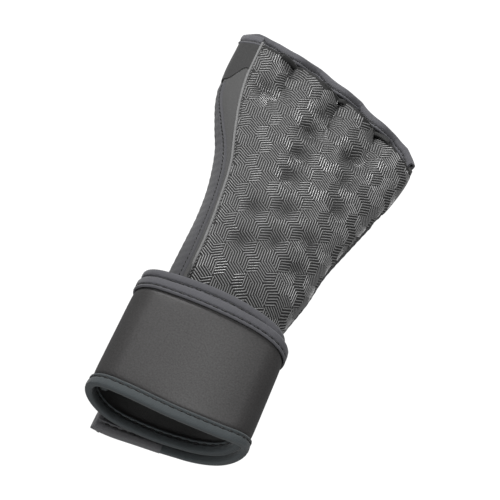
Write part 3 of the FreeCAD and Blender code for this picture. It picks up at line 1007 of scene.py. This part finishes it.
def printed_lines():
    """The print laid flat: the points of every stroke near the palm."""
    cell = np.concatenate([turned(np.array(diamond_strokes()), 120 * k) for k in range(3)])
    step_a = np.array([3.0, 0.0])
    step_b = turned(step_a, 60.0)
    reach = range(-PRINT_REACH, PRINT_REACH + 1)
    strokes = np.concatenate([cell + (i * step_a + j * step_b) for i in reach for j in reach])
    strokes = turned(strokes, PRINT_TURN) * DIAMOND @ PRINT_SKEW.T + PRINT_ORIGIN
    x, y = strokes.mean(1).T
    strokes = strokes[(np.abs(x) < 70) & (y > 22) & (y < 172)]
    start, end = strokes[:, None, 0], strokes[:, None, 1]
    return start + (end - start) * np.linspace(0, 1, 6)[None, :, None]


def on_print(angle, y):
    """Whether each point lies on the printed part of the palm."""
    x = on_form(angle, y)[..., 0]
    # between the cuff and the fingers the print stops short of the side, and the ground shows
    plain_side = 13.0 * step_up((y - 50) / 15) * step_up((117 - y) / 8)
    return (
        (angle < print_edge_angle(y))
        & (x - smooth(PRINT_EDGE, y)[..., 0] > 0.9)
        & (angle > SIDE_SEAM + 0.8 + plain_side)
        & (y < palm_top(x) - 0.7)
        & (y > 24)
    )


def palm_normals(angle, y):
    """The palm's points there, and its outward directions."""
    near = 0.35
    p = palm_surface(angle, y)
    up, round_it = palm_surface(angle, y + near) - p, palm_surface(angle + near, y) - p
    normal = unit(np.cross(up, round_it))
    normal[normal[:, 2] < -0.4] *= -1
    return p, normal


flat = printed_lines()
stroke_angle, stroke_y = unrolled_angle(flat[..., 0].ravel(), flat[..., 1].ravel()), flat[..., 1].ravel()
shape = flat.shape[:2]
printed = on_print(stroke_angle, stroke_y).reshape(shape)
lines, normals = (v.reshape(shape + (3,)) for v in palm_normals(stroke_angle, stroke_y))
build = Build()
for line, normal, good in zip(lines, normals, printed):
    first, last = np.argmax(good), len(good) - np.argmax(good[::-1])
    if good.sum() < 3 or not good[first:last].all():
        continue
    line, normal = line[first:last], normal[first:last]
    side = unit(np.cross(along(line), normal))
    pit = sum(hollow(line[:, 0] - x, line[:, 1] - y, PRESSED_WIDE, 1.0) for x, y, _, _ in PITS)
    size = (1 - PRESSED * np.clip(pit, 0, 1))[:, None]
    profile = np.stack([STROKE_ACROSS * STROKE_HALF * size, STROKE_RISE * STROKE_HIGH * size], -1)
    build.tube(swept(line, side, normal, profile))
build.piece("palm_print_strokes", RUBBER, "palm_print")

# the seam between print and gusset: a light cord, with small stitches beside it
y_seam = np.linspace(30.0, 162.5, 260)
seam_line = palm_surface(print_edge_angle(y_seam), y_seam)
seam_in = palm_surface(print_edge_angle(y_seam) - 1.0, y_seam)
inward = unit(seam_in - seam_line)
seam_normal = unit(np.cross(inward, along(seam_line)))
seam_normal *= np.sign(seam_normal[:, 2:])
ring = np.linspace(0, 2 * np.pi, 10, endpoint=False)
cord = np.stack([0.62 * np.cos(ring), 0.5 * np.sin(ring)], -1)
build = Build()
build.tube(swept(seam_line + seam_normal * 0.12, inward, seam_normal, cord))
build.piece("print_edge_cord", PIPING, "stretch_panel")
build = Build()
sewn = seam_line + inward * 1.05 + seam_normal * 0.2
dashes(build, sewn, seam_normal, 1.75, 1.05, 0.2, 0.3, tilt=0.35)
build.piece("print_edge_stitches", PALE_THREAD, "palm_print")

# the palm's hem at the fingers
HEM_PROFILE = [
    (-0.5, -0.9), (-0.42, -0.35), (-0.15, 0.02), (0.3, 0.14), (0.75, 0.06), (0.95, -0.15),
    (1.9, -0.3), (1.9, -1.5), (1.6, -1.85), (0.4, -1.95), (-0.3, -1.6),
]
across = np.linspace(0.0, 1.0, 420)
y = np.full(across.shape, 150.0)
for _ in range(20):
    angle = SIDE_SEAM + (print_edge_angle(y) - SIDE_SEAM) * across
    y = 0.5 * y + 0.5 * palm_top(on_form(angle, y)[..., 0])
line = palm_surface(angle, y)
inward = unit(palm_surface(angle, y - 1.0) - line)
normal = unit(np.cross(along(line), inward))
outwards = (normal * (line - np.array([7.0, 150.0, 12.0]))).sum(-1, keepdims=True)
build = Build()
build.tube(swept(line, inward, normal * np.sign(outwards), HEM_PROFILE))
build.piece("palm_finger_hem", GROUND, "palm_print")


# ---- gusset and knuckle strip

def panel_piece(name, angle, y, point, material, slot, replaced, thick=PANEL, lift=0.0):
    """A panel of cloth over those angles and lengths of a surface."""
    p = point(angle, y)
    n = grid_normals(p)
    centre = np.array([7.0, 0.0, 17.0])
    outwards = ((p - centre) * np.array([1, 0, 1]) * n).sum(-1, keepdims=True)
    n = n * np.sign(outwards)
    return Build().slab(p + n * lift, p - n * (thick - lift)).piece(name, material, slot, replaced=replaced)


s, f = grid(40, 130)
y = np.full(s.shape, 110.0)
for _ in range(14):
    far = angle_beyond(THUMB_EDGE, y, 2.0 - smooth(THUMB_TAPE, y)[..., 0])
    angle = print_edge_angle(y) + 0.2 + (far - print_edge_angle(y) - 0.2) * s
    y = HEEL_Y + (strip_start(on_form(angle, y)) + 6.0 - HEEL_Y) * f
panel_piece("thumb_gusset_cloth", angle, y, back_surface, GUSSET, "stretch_panel", ("thumb_gusset",))

s, f = grid(240, 50)
first = float(print_edge_angle(150.0)) + 0.6
angle = first + (360 + SIDE_SEAM - 0.2 - first) * s
low = top_at(angle[:, 0], lambda p: strip_start(p) + 4.0, on_form)[:, None]
high = finger_edge(angle[:, 0])[:, None] - 3.0
y = low + (high - low) * f
panel_piece(
    "knuckle_strip_cloth", angle, y, back_surface, STRIP, "stretch_panel", ("knuckle_strip",), lift=0.45
)


def edge_frame(surface, angle, y, toward):
    """An edge of the form, with the inward direction and outward normal at each point."""
    line = surface(angle, y)
    direction = along(line)
    inward = unit(surface(angle, y + toward) - line)
    inward = unit(inward - direction * (inward * direction).sum(-1, keepdims=True))
    normal = unit(np.cross(direction, inward))
    outwards = (normal * (on_form(angle, y, -1.0) - on_form(angle, y))).sum(-1, keepdims=True)
    return line, inward, normal * np.sign(outwards)


def sewn_tape(name, rings, seams, length, radius, material, node):
    """A binding tape from its rings, and its stitches along seams of points and normals."""
    Build().tube(rings).piece(name, material, "binding_tape", replaced=(node,))
    build = Build()
    for line, normal in seams:
        dashes(build, line, normal, FINE_PITCH, length, radius, 0.5)
    build.piece(name + "_stitches", THREAD, "binding_tape")


def tape_on(name, line, inward, normal, node, outer, skip=0):
    """A binding tape along an edge. Its first points may have no stitches."""
    rings = swept(line, inward, normal, tape_profile(lengths(line), TAPE_W, PANEL, outer))
    sewn = (line + inward * (TAPE_W - GROOVE))[skip:]
    up = normal[skip:]
    seams = (sewn + up * THREAD_UP, up), (sewn - up * (PANEL + THREAD_UP), -up)
    sewn_tape(name, rings, seams, 1.35, 0.3, TAPE, node)


# the tape round the finger edge of the knuckle strip
angle = np.linspace(float(print_edge_angle(162.0)) + 0.2, 360 + SIDE_SEAM - 0.2, 460)
high = finger_edge(angle)
line, inward, normal = edge_frame(back_surface, angle, high, -3.0)
tape_on("finger_edge_tape", line, inward, normal, "finger_edge_binding", 0.9, skip=70)

# the tape on the knuckle strip's lower edge, over the open back
angle = np.linspace(THUMB_EDGE + 6.0, 360 + SIDE_SEAM - 6.0, 260)
low = top_at(angle, lambda p: back_bottom(p[..., 0]), back_surface)
line, inward, normal = edge_frame(back_surface, angle, low, 3.0)
tape_on("knuckle_lower_tape", line, inward, normal, "knuckle_lower_binding", 0.85)


def side_tape_on(name, edge_angle, y, width, material, node):
    """A binding tape round the form from its edge."""
    distance = lengths(on_form(np.full(y.shape, edge_angle), y))
    ends = 0.45 + 0.55 * step_up((distance[-1] - distance) / 3.0)
    profile = tape_profile(distance, width, PANEL, ends, ends)
    rows = np.repeat(y[:, None], profile.shape[1], 1)
    around = angle_beyond(edge_angle, rows, -profile[..., 0])
    groove = angle_beyond(edge_angle, y, -(width - GROOVE))
    line, above = on_form(groove, y, -THREAD_UP), on_form(groove, y, -THREAD_UP - 1)
    up = unit(above - line)
    seams = (line, up), (on_form(groove, y, PANEL + THREAD_UP), -up)
    sewn_tape(name, on_form(around, rows, -profile[..., 1]), seams, 1.4, 0.46, material, node)


# the tapes on the two sides of the open back, each in a darker copy of the binding tape as painted shade
y = np.linspace(23.5, 137.5, 240)
width = smooth(THUMB_TAPE, y)[:, 0]
side_tape_on("thumb_side_tape", THUMB_EDGE, y, width, SIDE_TAPE_PAINTED_SHADE, "thumb_side_binding")
y = np.linspace(23.5, 106.0, 175)
width = np.full(y.shape, TAPE_W)
side_tape_on(
    "little_finger_side_tape", SIDE_SEAM - 0.6, y, width, LITTLE_SIDE_TAPE_PAINTED_SHADE, "little_finger_side_binding"
)

# the seam tape inside the palm's heel
s, f = grid(30, 8)
panel_piece(
    "heel_tape", 118.0 - 56.0 * s, 21.0 + 7.5 * f, lambda a, b: palm_surface(a, b, -1.0), TAPE,
    "binding_tape", ("heel_seam_tape",), thick=0.7,
)

def height_at(x, y, surface, side):
    """How high a surface lies at x and y: side is 1 for the palm and -1 for the back."""
    left, right, _, _ = section(y)
    share = (x - (left + right) / 2) / ((right - left) / 2)
    angle = np.degrees(np.arccos(np.copysign(np.abs(share) ** (SQUARENESS / 2), share)))
    return surface(side * angle, y)[..., 2]


# the webs between the fingers
for (x, _), name in zip(WEBS, ("web_index_middle", "web_middle_ring", "web_ring_little")):
    end = float(palm_top(x)) - 0.9
    ys = np.linspace(end - 17.0, end, 30)
    low = height_at(x, ys, back_surface, -1) + PANEL * 0.9
    high = np.maximum(height_at(x, ys, palm_surface, 1) - PANEL * 0.9, low + 0.5)
    y, t = np.meshgrid(ys, np.linspace(0, 1, 14), indexing="ij")
    z = low[:, None] + (high - low)[:, None] * t
    belly = 0.9 * np.sin(np.pi * t)
    half = 0.5 + 0.35 * (1 - np.sin(np.pi * t))
    build = Build()
    build.slab(np.stack([x + belly + half, y, z], -1), np.stack([x + belly - half, y, z], -1))
    build.piece(name, GUSSET, "stretch_panel", replaced=("finger_" + name,))


# ---- floor, light and camera

floor_mesh = bpy.data.meshes.new("floor")
floor_mesh.from_pydata([(-6, -6, 0), (6, -6, 0), (6, 6, 0), (-6, 6, 0)], [], [(0, 1, 2, 3)])
floor = placed("floor", floor_mesh)
floor.location.z = -0.0004
white = bpy.data.materials.new("floor_white")
white.use_nodes = True
for socket, value in (
    ("Base Color", (0.08, 0.08, 0.08, 1)),
    ("Roughness", 0.9),
    ("Specular IOR Level", 0.1),
    ("Emission Color", (1, 1, 1, 1)),
    ("Emission Strength", 1.0),
):
    white.node_tree.nodes["Principled BSDF"].inputs[socket].default_value = value
floor_mesh.materials.append(white)
# The lit table is bright, and mustn't wash out the dark cloth standing on it.
floor.visible_diffuse = False
floor.visible_glossy = False

world = bpy.data.worlds.new("studio")
bpy.context.scene.world = world
world.use_nodes = True
world.node_tree.nodes["Background"].inputs["Color"].default_value = (1, 1, 1, 1)
world.node_tree.nodes["Background"].inputs["Strength"].default_value = 0.23

CAMERA_TILT = math.radians(25.0)
CAMERA_ROLL = math.radians(24.5)
CAMERA_AWAY = 1.5  # metres
target = Vector(CUFF) + Vector((2.3686, 65.993, 22.0)) * MM


def softbox(name, direction, distance, size, power):
    """A round lamp that far from the target, facing it."""
    light = bpy.data.lights.new(name, "AREA")
    light.shape = "DISK"
    light.size = size
    light.energy = power
    lamp = placed(name, light)
    direction = Vector(direction).normalized()
    lamp.location = target + direction * distance
    lamp.rotation_euler = direction.to_track_quat("Z", "Y").to_euler()


softbox("key", (0.17, 0.08, 0.98), 1.6, 0.7, 20.5)
softbox("rake", (-0.44, 0.74, 0.5), 0.55, 0.16, 2.9)
softbox("wrist_fill", (-0.3, -0.9, 0.28), 1.4, 0.6, 9.0)

camera_data = bpy.data.cameras.new("camera")
camera_data.sensor_width = 36.0
camera_data.lens = 248.4
camera = placed("camera", camera_data)
back = Vector((0, -math.sin(CAMERA_TILT), math.cos(CAMERA_TILT)))
plain_up = Vector((0, math.cos(CAMERA_TILT), math.sin(CAMERA_TILT)))
plain_right = Vector((1, 0, 0))
right = plain_right * math.cos(CAMERA_ROLL) + plain_up * math.sin(CAMERA_ROLL)
up = plain_up * math.cos(CAMERA_ROLL) - plain_right * math.sin(CAMERA_ROLL)
turn = Matrix((right, up, back)).transposed()
camera.matrix_world = Matrix.Translation(target + back * CAMERA_AWAY) @ turn.to_4x4()
bpy.context.scene.camera = camera
bpy.context.scene.view_settings.view_transform = "Standard"

bpy.context.view_layer.update()
